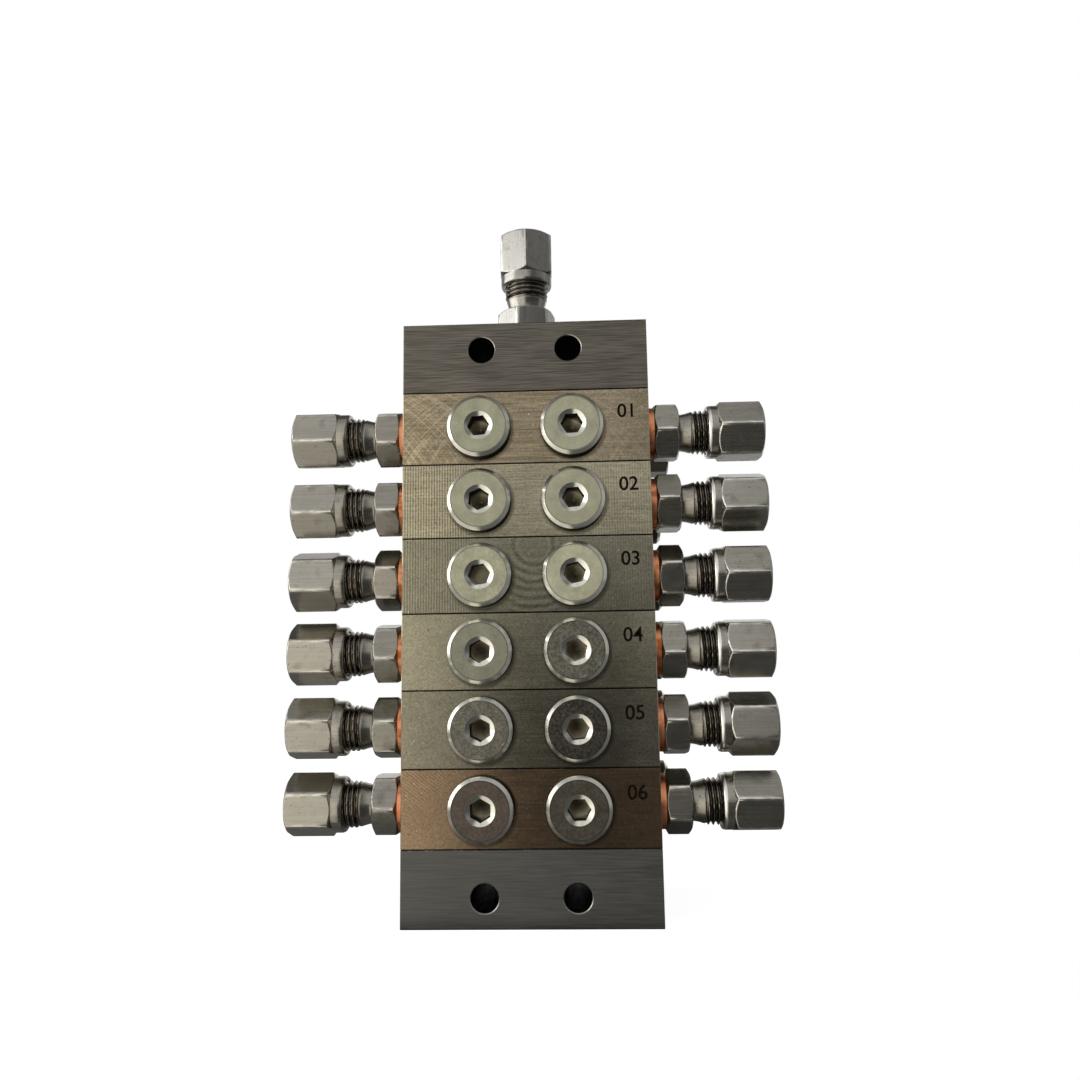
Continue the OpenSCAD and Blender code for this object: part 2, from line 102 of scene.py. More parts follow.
def tone(red, green, blue):
    """A colour as it looks on a screen, 0 to 255, as the linear colour that a shader takes."""
    seen = np.array([red, green, blue]) / 255
    linear = np.where(seen < 0.04045, seen / 12.92, ((seen + 0.055) / 1.055) ** 2.4)
    return (*linear.tolist(), 1.0)


def new_finish(name):
    """A new material, and the place of a surface point on the part in millimetres."""
    material = bpy.data.materials.new(name)
    material.use_nodes = True
    material.node_tree.nodes.clear()
    place = Wire(material.node_tree).node("ShaderNodeTexCoord", output="Object")
    scaled = place.node("ShaderNodeVectorMath", {"operation": "SCALE"}, {0: place, "Scale": 1 / MM})
    return material, scaled


def split(place):
    """The X, Y and Z of a place."""
    x = place.node("ShaderNodeSeparateXYZ", None, {0: place})
    outputs = x.socket.node.outputs
    return x, Wire(x.tree, outputs[1]), Wire(x.tree, outputs[2])


def rise(value, low, high):
    """0 below low, 1 above high and a smooth step between. With low above high it falls."""
    limits = {"Value": value, "From Min": low, "From Max": high}
    return value.node("ShaderNodeMapRange", {"interpolation_type": "SMOOTHSTEP"}, limits)


def patches(place, size, detail=2.0):
    """Noise round 0.5 whose patches are about this size in X, Y and Z, in millimetres."""
    closer = tuple(1 / length for length in size)
    scaled = place.node("ShaderNodeMapping", None, {"Vector": place, "Scale": closer})
    return place.node("ShaderNodeTexNoise", None, {"Vector": scaled, "Scale": 1.0, "Detail": detail})


def blend(first, second, amount):
    """A level between two, by an amount from 0 to 1."""
    return first + amount * (second - first)


def lay(under, over, amount):
    """One colour laid on another by an amount from 0 to 1, with a Mix node's sockets for colours."""
    return amount.node("ShaderNodeMix", {"data_type": "RGBA"}, {0: amount, 6: under, 7: over}, 2)


def dim(colour, level):
    """A colour made lighter or darker by a level round 1."""
    start = colour if isinstance(colour, Wire) else colour[:3]
    return level.node("ShaderNodeVectorMath", {"operation": "SCALE"}, {0: start, "Scale": level})


def metal(material, colour, roughness, height, metallic=1.0):
    """Ends a finish: a metal of this colour and roughness, with a surface height in millimetres."""
    relief = height.node("ShaderNodeBump", None, {"Strength": 1.0, "Distance": MM, "Height": height})
    looks = {"Base Color": colour, "Metallic": metallic, "Roughness": roughness, "Normal": relief}
    shader = height.node("ShaderNodeBsdfPrincipled", None, looks)
    height.node("ShaderNodeOutputMaterial", None, {"Surface": shader})
    return material


def dress(names, material):
    """Gives the material to the shown solids of these names."""
    for name in names:
        for material_slot in nodes[name].material_slots:
            material_slot.material = material


def from_axis(across, up):
    """Distance from an axis at right angles to these two directions."""
    return (across * across + up * up) ** 0.5


def block_edges(place, name):
    """Distance to a section's nearest edge, to its upper or lower face, and height above its middle.

    Of the distances to the nearest face in X, Y and Z, the middle one is the distance to the nearest edge.
    """
    low, high = np.array(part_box(name)) / MM
    middle = ((low + high) / 2).tolist()
    half = ((high - low) / 2).tolist()
    x, y, z = split(place)
    side = half[0] - abs(x - middle[0])
    deep = half[1] - abs(y - middle[1])
    level = half[2] - abs(z - middle[2])
    lesser = side.math("MINIMUM", side, deep)
    greater = side.math("MAXIMUM", side, deep)
    edge = side.math("MAXIMUM", lesser, side.math("MINIMUM", greater, level))
    return edge, level, z - middle[2]


def worn(edges, place, colour, grime_and_shade, bare):
    """Dark oil at a section's joints, with painted shade along the lower edge, which faces down, bare upright
    edges, and specks near the upper one.
    """
    edge, level, height = edges
    at_edge = rise(edge, 0.26, 0.16)
    at_joint = at_edge * rise(level, 0.35, 0.25)
    under = rise(height, 0.5, -0.5)
    specks = rise(patches(place, (0.9, 0.9, 0.9), 1.0), 0.6, 0.68)
    colour = lay(colour, bare, (at_edge - at_joint) * 0.6)
    # Painted shade along the lower edge, which faces down; the dark joint line is made darker there too, as
    # painted shade.
    colour = lay(colour, grime_and_shade, rise(level, 0.45, 0.2) * under * 0.5)
    colour = lay(colour, grime_and_shade, at_joint * (0.45 + 0.5 * under))
    return lay(colour, bare, rise(level, 0.5, 0.3) * specks * (1 - under) * 0.6)


def brushing(level, place):
    """Crosswise streaks, 0 to 1, round a section and, where level is 0, across its upper and lower face."""
    upright = patches(place, (STREAK_L, STREAK_L, STREAK_W), 1.0)
    level_face = patches(place, (STREAK_L, STREAK_W, STREAK_L), 1.0)
    return rise(blend(upright, level_face, rise(level, 0.05, 0.01)), 0.3, 0.7)


def brushed_steel(name, colour, strength):
    """Blackened bar steel, brushed crosswise, with painted shade inside the drilled holes and a painted
    highlight round their bevelled mouths.
    """
    material, place = new_finish(name)
    x, y, z = split(place)
    edges = block_edges(place, name)
    fine = brushing(edges[1], place)
    blotch = patches(place, (13, 13, 7), 2.0)
    hole = from_axis(abs(x) - MOUNT_X, abs(z) - MOUNT_Z)
    drilled = rise(hole, MOUNT_R + 0.08, MOUNT_R + 0.02)
    mouth = rise(hole, MOUNT_R + MOUNT_BEVEL + 0.05, MOUNT_R + MOUNT_BEVEL - 0.05)
    shade = dim(colour, (1 + strength * (fine - 0.5)) * (0.85 + 0.3 * blotch))
    shade = worn(edges, place, shade, tone(30, 27, 24), tone(150, 143, 131))
    # Painted highlight on the bevelled mouth of each hole, and painted shade inside the hole.
    shade = lay(shade, tone(204, 198, 186), mouth * 0.6)
    shade = lay(shade, tone(16, 14, 12), drilled)
    roughness = 0.4 + 0.12 * fine + 0.25 * drilled - 0.15 * (mouth - drilled)
    return metal(material, shade, roughness, 0.006 * fine)


dress(["inlet_section"], brushed_steel("inlet_section", tone(106, 101, 93), 0.8))
dress(["end_section"], brushed_steel("end_section", tone(101, 100, 97), 0.3))


# Valve sections
# Six steel blocks, face milled and then ground by hand, so each one shows its own cutter marks. They are
# stacked between the end pieces, and a piston bore and the front ports are drilled into each.
SECTION_H = 22.86
ROWS = range(1, 7)
FRONT_Y = -50.8
PLUG_X = 14.3
PLUG_HEAD_R = 9.6
CUTTER_R = 60.0
CUTTER_DROP = 42.0
CHATTER_X = 2.0
CHATTER_RISE = 9.0
# Offset of the painted shadow round each front plug, to the right and downwards.
PLUG_SHADOW_SHIFT = 0.4
PLUG_SHADOW_DROP = 0.6
SECTION_LOOKS = [
    {"colour": tone(142, 130, 108), "streaks": 0.45, "arcs": 1.0, "smears": 1.0, "right_end": -0.2},
    {"colour": tone(154, 147, 125), "streaks": 0.4, "lines": 1.0, "smears": 0.3},
    {"colour": tone(133, 129, 111), "streaks": 0.15, "lines": 0.7, "rings": 1.0, "right_end": 0.1},
    {"colour": tone(147, 142, 122), "streaks": 0.05, "right_end": 0.5},
    {"colour": tone(135, 130, 113), "streaks": 0.05, "right_end": 0.6},
    {"colour": tone(142, 121, 97), "streaks": 0.05, "smears": 0.4, "slants": 1.0, "right_end": 0.2},
]


def row_height(row):
    """Height of the middle of a valve section, in millimetres."""
    return ((len(ROWS) + 1) / 2 - row) * SECTION_H


def waves(value, pitch):
    """A wave from -1 to 1 that repeats at this pitch in millimetres."""
    return value.math("SINE", value * (2 * np.pi / pitch))


def scratches(across, along, spacing):
    """Long bright lines, uneven in spacing and strength, that follow one direction across another."""
    laid = across.node("ShaderNodeCombineXYZ", None, {0: across, 1: along})
    return rise(patches(laid, (spacing, 25 * spacing, 1), 1.0), 0.5, 0.66)


def milled_steel(
    row, colour, streaks=0.0, arcs=0.0, lines=0.0, rings=0.0, smears=0.0, slants=0.0, right_end=0.0
):
    """Milled steel of one section. Each kind of mark is laid over the fine grain by its own amount.

    streaks run crosswise, arcs are the crossed rings of a face cutter, strongest on the left, lines the
    upright tool lines towards both sides, rings the chatter round a point between the plugs, smears brown
    stains, slants fine slanting lines on the left, and right_end how much paler the right end is, or darker
    below 0.
    """
    name = f"valve_section_{row}"
    material, place = new_finish(name)
    x, y, z = split(place)
    up = z - row_height(row)
    edges = block_edges(place, name)
    fine = brushing(edges[1], place)
    grain = patches(place, (0.5, 0.5, 0.5), 1.0)
    blotch = patches(place, (11, 11, 6), 2.0)
    jitter = patches(place, (4, 4, 4), 2.0)
    sweep = up + CUTTER_DROP
    bend = (CUTTER_R ** 2 - sweep * sweep) ** 0.5
    cut = rise(x + 6 * jitter, -13, -21) + 0.4 * rise(x, 19, 25)
    arc_marks = (scratches(x + bend, up, 0.7) + scratches(x - bend, up, 0.8)) * cut * arcs
    tool_lines = waves(x + 0.2 * jitter, 0.82) * (rise(x, -13, -22) + 0.4 * rise(x, 14, 22)) * lines
    from_point = from_axis(x - CHATTER_X, up - CHATTER_RISE)
    on_front = rise(y, FRONT_Y + 10.8, FRONT_Y + 0.8)
    near_point = rise(from_point, 3, 6) * rise(abs(x - CHATTER_X), 9, 5) * on_front
    ring_marks = waves(from_point + 1.6 * jitter, 2.5) * near_point * rings
    slant_lines = waves(x * 0.6 + up * 0.8 + jitter, 0.8) * rise(x - up, -24, -40) * slants
    marks = 0.42 * arc_marks - 0.1 * cut * arcs + 0.38 * tool_lines + 0.28 * ring_marks + 0.18 * slant_lines
    level = 1 + streaks * (fine - 0.5) + 0.9 * (grain - 0.5) + marks
    smear = rise(patches(place, (12, 12, 0.6), 3.0), 0.46, 0.66) * rise(abs(x), 22, 8) * smears
    dots = rise(patches(place, (0.8, 0.8, 0.8), 1.0), 0.73, 0.79)
    dust = rise(patches(place, (0.7, 0.7, 0.9), 1.0), 0.74, 0.8)
    shade = dim(colour, level * (0.84 + 0.32 * blotch) * (1 + right_end * rise(x + 8 * blotch, 28, 40)))
    shade = lay(shade, tone(96, 76, 50), smear * 0.45)
    shade = lay(shade, tone(44, 38, 30), dots * 0.6)
    shade = lay(shade, tone(210, 204, 188), dust * 0.6)
    # A painted shadow of each front plug: a dark ring round the plug, shifted to its lower right, on the
    # front face only.
    from_shadow_centre = from_axis(abs(x - PLUG_SHADOW_SHIFT) - PLUG_X, up + PLUG_SHADOW_DROP)
    plug_shadow = rise(from_shadow_centre, PLUG_HEAD_R + 1.3, PLUG_HEAD_R + 0.1) * on_front
    shade = lay(shade, tone(40, 35, 28), plug_shadow * 0.6)
    shade = worn(edges, place, shade, tone(26, 23, 20), tone(176, 168, 148))
    roughness = 0.13 + 0.05 * fine
    return metal(material, shade, roughness, 0.001 * fine + 0.004 * arc_marks + 0.002 * tool_lines)


for row in ROWS:
    dress([f"valve_section_{row}"], milled_steel(row, **SECTION_LOOKS[row - 1]))


# Pistons
# Six metering spools of hardened steel, lapped to their bores, with two grooves that feed the outlets. Each
# slides across its section, pushed by the grease.
def lapped_steel():
    """Bright steel with fine lapping rings round the piston."""
    material, place = new_finish("lapped_steel")
    rings = patches(place, (0.12, 6, 6), 2.0)
    shade = dim(tone(190, 190, 184), 0.8 + 0.4 * rings)
    return metal(material, shade, 0.16 + 0.12 * rings, 0.001 * rings)


dress([f"piston_{row}" for row in ROWS], lapped_steel())


# Seals
# Rubber rings, moulded whole, lie in recesses round the passages that cross each joint and under the heads of
# the front plugs.
def seal_rubber():
    """Matt black rubber with a fine moulded grain."""
    material, place = new_finish("seal_rubber")
    grain = patches(place, (0.3, 0.3, 0.3), 2.0)
    shade = dim(tone(28, 28, 28), 0.7 + 0.6 * grain)
    return metal(material, shade, 0.6 + 0.2 * grain, 0.01 * grain, metallic=0.0)


dress(["section_seals", "front_plug_seals"], seal_rubber())


# Tie rods and their nuts
# Three zinc plated steel rods pass through the whole stack. A hexagon nut on each end is sunk into the outer
# sections.
def plated_steel(name, colour):
    """Zinc plated steel with a cloudy, slightly yellow film."""
    material, place = new_finish(name)
    cloud = patches(place, (3, 3, 3), 3.0)
    grain = patches(place, (0.25, 0.25, 0.25), 1.0)
    shade = dim(colour, 0.6 + 0.5 * cloud + 0.3 * grain)
    return metal(material, shade, 0.3 + 0.2 * grain, 0.004 * grain)


dress(["tie_rods", "tie_rod_nuts"], plated_steel("rod_plating", tone(150, 148, 136)))


# Front plugs
# Two turned steel plugs close the drilled ports on the front of each section, zinc plated, with a countersunk
# key socket. The upper rows are bright, and the lower ones are darker and grainy.
PLUG_BEVEL = 1.0
PLUG_FACE_Y = -54.6
KEY_MOUTH_R = 4.4
KEY_SINK = 0.98
KEY_DEPTH = 6.5
SATIN_ZINC = tone(182, 180, 156)
PLUG_LOOKS = [
    {"left": tone(172, 170, 147), "right": SATIN_ZINC, "left_grain": 0.15, "right_grain": 0.15},
    {"left": tone(176, 174, 151), "right": SATIN_ZINC, "left_grain": 0.15, "right_grain": 0.15},
    {"left": SATIN_ZINC, "right": tone(198, 196, 170), "left_grain": 0.25, "right_grain": 0.15},
    {"left": tone(150, 149, 131), "right": tone(116, 114, 103), "left_grain": 0.2, "right_grain": 0.7},
    {"left": tone(121, 118, 107), "right": tone(75, 72, 66), "left_grain": 0.6, "right_grain": 0.8},
    {"left": tone(103, 93, 86), "right": tone(94, 89, 80), "left_grain": 0.35, "right_grain": 0.35},
]


def turned_zinc(material, place, colour, grainy, out, depth):
    """A turned and plated head: a cloudy or grainy face, a painted highlight on its bevel and a painted dark
    key socket.

    The grainy face carries painted glints, the countersink the same painted highlight as the bevel, the edge
    of the face a painted dark line, the head's side wall painted shade, and the socket's floor painted light.
    grainy is 0 for a satin face and 1 for a grainy one, out the distance from the plug's axis, and depth how
    far a point lies below the head's face.
    """
    rings = waves(out, 0.5)
    grain = rise(patches(place, (0.8, 0.8, 0.8), 1.0), 0.35, 0.65)
    glints = rise(patches(place, (0.9, 0.9, 0.7), 1.0), 0.66, 0.74)
    cloud = patches(place, (3.5, 3.5, 3.5), 3.0)
    bevel_start = PLUG_HEAD_R - PLUG_BEVEL
    bevel = rise(out, bevel_start - 0.05, bevel_start + 0.05) * rise(depth, PLUG_BEVEL + 0.2, PLUG_BEVEL)
    rim = rise(abs(out - bevel_start + 0.15), 0.2, 0.08) * rise(depth, 0.1, 0.05)
    wall = rise(out, PLUG_HEAD_R - 0.2, PLUG_HEAD_R - 0.05) * rise(depth, PLUG_BEVEL, PLUG_BEVEL + 0.2)
    inside = rise(out, KEY_MOUTH_R + 0.05, KEY_MOUTH_R - 0.05)
    sink = inside * rise(depth, KEY_SINK, KEY_SINK - 0.1)
    socket = inside - sink
    face = 1 - bevel - inside
    speckle = 1 + grainy * (0.7 * grain - 0.4 + 0.9 * glints + 0.08 * rings)
    shade = dim(colour, speckle * (0.65 + 0.6 * cloud + 0.04 * rings))
    # Painted light and shade: a highlight on the bevel and countersink, a dark line at the face's edge, shade
    # on the side wall and in the key socket, and light on the socket's floor.
    shade = lay(shade, tone(224, 223, 213), (bevel + sink) * 0.9)
    shade = lay(shade, tone(50, 47, 40), rim * 0.55)
    shade = lay(shade, tone(84, 80, 70), wall * 0.8)
    shade = lay(shade, tone(52, 48, 41), socket)
    shade = lay(shade, tone(172, 162, 136), socket * rise(depth, KEY_DEPTH - 0.15, KEY_DEPTH - 0.02))
    roughness = 0.2 + 0.2 * socket + face * (0.2 + 0.1 * grain)
    return metal(material, shade, roughness, face * (0.012 * grain * grainy + 0.003 * cloud))


for row, looks in zip(ROWS, PLUG_LOOKS):
    material, place = new_finish(f"front_plug_zinc_{row}")
    x, y, z = split(place)
    on_right = rise(x, -0.1, 0.1)
    colour = lay(looks["left"], looks["right"], on_right)
    grainy = looks["left_grain"] + on_right * (looks["right_grain"] - looks["left_grain"])
    out = from_axis(abs(x) - PLUG_X, z - row_height(row))
    dress([f"front_plugs_{row}"], turned_zinc(material, place, colour, grainy, out, y - PLUG_FACE_Y))


# Piston plugs
# The piston bores are closed on both sides by the same turned plugs, on steel washers. One plug, on the right
# of the first section, has a hexagon head instead.
PISTON_Y = -14.8
PISTON_PLUG_FACE_X = 43.4
material, place = new_finish("piston_plug_zinc")
x, y, z = split(place)
row_offset = z.math("PINGPONG", z, SECTION_H) - SECTION_H / 2
out = from_axis(y - PISTON_Y, row_offset)
piston_plug_zinc = turned_zinc(material, place, tone(164, 163, 144), 0.2, out, PISTON_PLUG_FACE_X - abs(x))
dress(["piston_plugs_left", "piston_plugs_right"], piston_plug_zinc)
dress(["hex_piston_plug"], plated_steel("hex_plug_plating", tone(138, 136, 126)))
dress(["piston_plug_washers"], plated_steel("plug_washer_steel", tone(120, 117, 106)))


# Copper washers
# A soft copper ring seals each fitting against its face. It is turned from tube, and darker where grease lies
# on it.
def bare_copper():
    """Copper with turning rings across its rim and brown stains."""
    material, place = new_finish("bare_copper")
    rings = patches(place, (0.18, 5, 5), 2.0)
    stain = patches(place, (3, 3, 3), 3.0)
    shade = lay(tone(238, 160, 118), tone(176, 98, 60), rise(stain, 0.42, 0.7))
    shade = dim(shade, 0.8 + 0.4 * rings)
    return metal(material, shade, 0.3 + 0.2 * rings, 0.004 * rings)


dress(["inlet_washer", "outlet_washers_left", "outlet_washers_right"], bare_copper())


# Connectors
# Thirteen tube connectors turned from drawn hexagon bar: a stud in the block, a hexagon for the wrench, a
# smooth neck and a thread of 14 by 1.5 mm for the nut. They are screwed down on their washers.
SIDE_X = 38.1
TOP_Z = 90.78
OUTLET_Y = -38.3
INLET_Y = -32.6
FLATS = 17.0
CORNER_CUT = 0.12
CORNER_R = FLATS / np.sqrt(3) - CORNER_CUT
FACE_R = 0.48 * FLATS
CHAMFER_ANGLE = np.radians(30)
CHAMFER = (CORNER_R - FACE_R) * np.tan(CHAMFER_ANGLE)
SOFT_EDGE = 0.3
SHARP_ANGLE = np.radians(28)
CREASE_W = 0.2
WORN_R = 9.6
WORN_W = 0.15
STUD_L = 11.0
STUD_R = 6.0
STUD_BEVEL = 1.0
PASSAGE_R = 2.5
WASHER_L = 2.0
HEX_END = 9.8
FILLET_R = 6.4
NECK_START = 10.4
NECK_R = 5.85
NECK_SWELL = 1.6
THREAD_START = 13.6
THREAD_END = 28.0
THREAD_SHOWN = 20.5
NUT_START = 18.8
BRIGHT_LIP = 0.6
PITCH = 1.5
CREST_FLAT = 1 / 8
ROOT_FLAT = 1 / 4
CREST_R = 7.0
ROOT_R = 6.08
RUN_IN = 0.05
TUBE_R = 4.1
TUBE_STOP = 20.97
CONE_START = 23.77
CONE_R = 5.0
LEFT_HEX_TURNS = [-18, -10, 21, -9, 16, -2]
RIGHT_HEX_TURNS = [-5, 3, 21, -6, 11, 34]
INLET_HEX_TURN = -46
# Angles in degrees from a corner to the middle of a flat, closer together near the corner.
FLAT_STEPS = np.array([0, 0.6, 1.2, 1.8, 2.8, 4.5, 7.5, 12, 17, 23, 30])
SECTOR = np.concatenate([FLAT_STEPS, 60 - FLAT_STEPS[-2:0:-1]])
ANGLES = np.radians((SECTOR + 60 * np.arange(6)[:, None]).ravel())


def outline(stations):
    """A closed outline, straight between stations of (distance along, radius, steps to the next one)."""
    points = np.array(stations)[:, :2]
    steps = np.array(stations)[:, 2].astype(int)
    share = np.concatenate([np.arange(count) / count for count in steps])
    start = np.repeat(points, steps, axis=0)
    run = np.repeat(np.roll(points, -1, axis=0) - points, steps, axis=0)
    return start + run * share[:, None]


def quarter_round(start, end, count):
    """Stations on a quarter ellipse that leaves its start square to the axis and reaches its end along it."""
    turn = np.arange(count) / count * np.pi / 2
    share = np.stack([1 - np.cos(turn), np.sin(turn)], axis=-1)
    points = start + (np.array(end) - start) * share
    return np.column_stack([points, np.ones(count)]).tolist()


def swelling(start, end, power, count):
    """Stations from a start to an end, where the radius grows with a power of the share of the way."""
    way = np.arange(count) / count
    share = np.stack([way, way ** power], axis=-1)
    points = start + (np.array(end) - start) * share
    return np.column_stack([points, np.ones(count)]).tolist()


def soft_least(first, second, width):
    """The lesser of two distances, rounded off where they differ by less than a width."""
    near = np.maximum(width - np.abs(first - second), 0) / width
    return np.minimum(first, second) - near * near * width / 4


def hexagon_reach(angles):
    """Distance from a hexagon's middle to its side: half its width over the cosine from the flat's middle."""
    return FLATS / 2 / np.cos(angles % (np.pi / 3) - np.pi / 6)


def thread_ridge(along, angles):
    """Height of a right-hand thread from 0 at its root to 1 at its crest.

    The ridge follows the distance along less one pitch for each turn round. A share of the pitch is flat at
    the crest and another at the root, with straight flanks between. Over the first turn, crest and groove
    grow apart from half height.
    """
    turn = (along - THREAD_START) / PITCH - angles / (2 * np.pi)
    from_crest = 2 * np.abs(turn % 1 - 0.5)
    groove = np.clip((from_crest - CREST_FLAT) / (1 - CREST_FLAT - ROOT_FLAT), 0, 1)
    return 0.5 + (0.5 - groove) * np.clip((along - THREAD_START) / PITCH, 0, 1)


def fitting_piece(name, shape, place, axis, ahead, corner, material):
    """A closed piece turned from hexagon bar: an outline carried round an axis, cut by the six flats.

    The radius is the lesser of the outline and the hexagon. On the stretch at the thread's root radius the
    ridge is added. place is the foot of the axis, ahead the direction that angles count from, and corner the
    angle of one hexagon corner. The attributes along, ridge and edge tell the finish where a point lies.
    """
    along = shape[:, :1]
    radius = shape[:, 1:]
    reach = hexagon_reach(ANGLES)[None, :]
    threaded = np.abs(radius - ROOT_R) < 1e-6
    ridge = np.where(threaded, thread_ridge(along, ANGLES[None, :]), 1.0)
    lift = np.where(threaded, ridge * (CREST_R - ROOT_R), 0.0)
    reached = np.where(radius > FLATS / 2, soft_least(radius, reach, SOFT_EDGE), radius) + lift
    round_axis = ANGLES[None, :] + np.radians(corner)
    across = np.cross(axis, ahead)
    sideways = np.cos(round_axis)[..., None] * ahead + np.sin(round_axis)[..., None] * across
    points = place + along[..., None] * axis + reached[..., None] * sideways
    ring, row = np.meshgrid(np.arange(len(ANGLES)), np.arange(len(shape)))
    spot = row * len(ANGLES) + ring
    ahead_row = np.roll(spot, -1, axis=0)
    faces = np.stack([spot, np.roll(spot, -1, axis=1), np.roll(ahead_row, -1, axis=1), ahead_row], axis=-1)
    mesh = bpy.data.meshes.new(name)
    mesh.from_pydata((points.reshape(-1, 3) * MM).tolist(), [], faces.reshape(-1, 4).tolist())
    # The edge attribute holds worn hexagon corners and the creases where the hexagon meets its chamfers,
    # which the finish gives a painted highlight.
    crease_glint = np.exp(-(((radius - reach) / CREASE_W) ** 2))
    corner_near = np.clip((reach - WORN_R) / WORN_W, 0, 1)
    wear_and_glint = np.where(radius > FLATS / 2, np.maximum(crease_glint, corner_near), 0)
    for label, values in (
        ("along", np.broadcast_to(along, reached.shape)),
        ("ridge", ridge),
        ("edge", wear_and_glint),
    ):
        attribute = mesh.attributes.new(label, "FLOAT", "POINT")
        attribute.data.foreach_set("value", values.astype(np.float32).ravel())
    mesh.shade_smooth()
    mesh.set_sharp_from_angle(angle=SHARP_ANGLE)
    mesh.materials.append(material)
    piece = bpy.data.objects.new(name, mesh)
    bpy.context.scene.collection.objects.link(piece)
    return piece


def drawn_steel(name, colour, grain_size):
    """Oiled drawn bar: lines along the flats, oil stains, bright worn edges with painted highlights along the
    hexagon's creases, and the thread darker in its grooves.

    On the right of the block the edges get a stronger painted highlight, and so does the lip at the start of
    each nut.
    """
    material, place = new_finish(name)
    x, y, z = split(place)
    on_right = rise(x, 20, 30)
    along = place.node("ShaderNodeAttribute", {"attribute_name": "along"}, output="Fac")
    ridge = place.node("ShaderNodeAttribute", {"attribute_name": "ridge"}, output="Fac")
    edge = place.node("ShaderNodeAttribute", {"attribute_name": "edge"}, output="Fac")
    drawn = patches(place, grain_size, 3.0)
    stain = patches(place, (6, 6, 6), 3.0)
    pits = rise(patches(place, (0.6, 0.6, 0.6), 1.0), 0.7, 0.76)
    rings = patches(along.node("ShaderNodeCombineXYZ", None, {0: along}), (0.2, 1, 1), 2.0)
    nicks = rise(patches(place, tuple(0.6 + 0.2 * size for size in grain_size), 2.0), 0.4, 0.65)
    shade = dim(colour, 0.45 + 0.6 * drawn + 0.35 * stain + 0.15 * rings)
    shade = lay(shade, tone(80, 71, 60), rise(stain, 0.55, 0.75) * 0.4)
    shade = lay(shade, tone(44, 39, 33), pits * 0.6)
    # Bright worn corners, and painted highlights along the creases, stronger on the right of the block.
    shade = lay(shade, tone(234, 231, 222), edge * (0.2 + 0.25 * on_right + 0.55 * nicks))
    # A painted highlight on the lip at the start of each nut, on the right of the block.
    lip_highlight = rise(abs(along - NUT_START - BRIGHT_LIP), BRIGHT_LIP + 0.05, BRIGHT_LIP - 0.1) * ridge
    shade = lay(shade, tone(238, 236, 230), lip_highlight * on_right * 0.9)
    # The thread is darker towards the bottom of its grooves.
    shade = lay(tone(86, 79, 70), shade, rise(ridge, 0.1, 0.9))
    roughness = 0.13 + 0.14 * drawn + 0.08 * stain
    return metal(material, shade, roughness, 0.003 * drawn + 0.002 * rings - 0.02 * pits)


connector_steel = drawn_steel("connector_steel", tone(148, 144, 134), (14, 0.4, 0.4))
inlet_steel = drawn_steel("inlet_fitting_steel", tone(155, 153, 147), (0.4, 0.4, 14))
NECK_FOOT = (NECK_START, NECK_R)
NECK_END = (THREAD_START - RUN_IN, (ROOT_R + CREST_R) / 2)
connector_shape = outline([
    (-STUD_L, PASSAGE_R, 1), (-STUD_L, STUD_R - STUD_BEVEL, 1), (STUD_BEVEL - STUD_L, STUD_R, 1),
    (WASHER_L, STUD_R, 1), (WASHER_L, FACE_R, 14), (WASHER_L + CHAMFER, CORNER_R, 3),
    (HEX_END - CHAMFER, CORNER_R, 14), (HEX_END, FACE_R, 3),
    *quarter_round((HEX_END, FILLET_R), NECK_FOOT, 4), *swelling(NECK_FOOT, NECK_END, NECK_SWELL, 9),
    (*NECK_END, 1), (THREAD_START, ROOT_R, 60), (THREAD_SHOWN, ROOT_R, 40), (THREAD_END, ROOT_R, 1),
    (THREAD_END, CONE_R, 2), (CONE_START, TUBE_R, 1), (TUBE_STOP, TUBE_R, 1), (TUBE_STOP, PASSAGE_R, 1),
])
RIGHT = np.array([1.0, 0, 0])
AHEAD = np.array([0, -1.0, 0])
UP = np.array([0, 0, 1.0])


def add_outlets(kind, shape, left_turns, right_turns, steel):
    """Adds this piece of the fitting to both sides of every valve section, in place of its solid."""
    for side, sign, turns in (("left", -1, left_turns), ("right", 1, right_turns)):
        for row, turn in zip(ROWS, turns):
            name = f"outlet_{kind}_{side}_{row}"
            foot = np.array([sign * SIDE_X, OUTLET_Y, row_height(row)])
            label = f"{kind}_{side}_{row}"
            piece = fitting_piece(label, shape, foot, sign * RIGHT, AHEAD, -sign * turn, steel)
            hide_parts(name)
            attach(piece, "block")


def add_inlet(kind, shape, turn):
    """Adds this piece of the fitting to the inlet section, in place of its solid."""
    foot = np.array([0, INLET_Y, TOP_Z])
    piece = fitting_piece(f"{kind}_top", shape, foot, UP, RIGHT, turn, inlet_steel)
    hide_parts(f"inlet_{kind}")
    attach(piece, "block")


add_outlets("connector", connector_shape, LEFT_HEX_TURNS, RIGHT_HEX_TURNS, connector_steel)
add_inlet("connector", connector_shape, INLET_HEX_TURN)


# Nuts
# Each fitting's nut is turned from the same hexagon bar, with a round collar towards the block. It draws the
# cutting ring into the connector's cone and grips the tube.
LEFT_NUT_TURNS = [-11, -11, -20, 26, 18, 26]
RIGHT_NUT_TURNS = [3, -19, 0, -7, 36, 11]
INLET_NUT_TURN = -88
NUT_END = 36.3
COLLAR_R = 8.45
COLLAR_END = 22.0
SHOULDER_ANGLE = np.radians(38)
HEX_START = COLLAR_END + (CORNER_R - COLLAR_R) * np.tan(SHOULDER_ANGLE)
LIP = 0.6
LIP_L = 1.1
THREAD_GAP = 0.1
BORE_R = CREST_R + THREAD_GAP
SEAT_U = 30.4
SEAT_R = 5.88
SEAT_L = 0.8
MOUTH = 0.8
LIP_FOOT = (NUT_START, COLLAR_R - LIP)
LIP_TOP = (NUT_START + LIP_L, COLLAR_R)
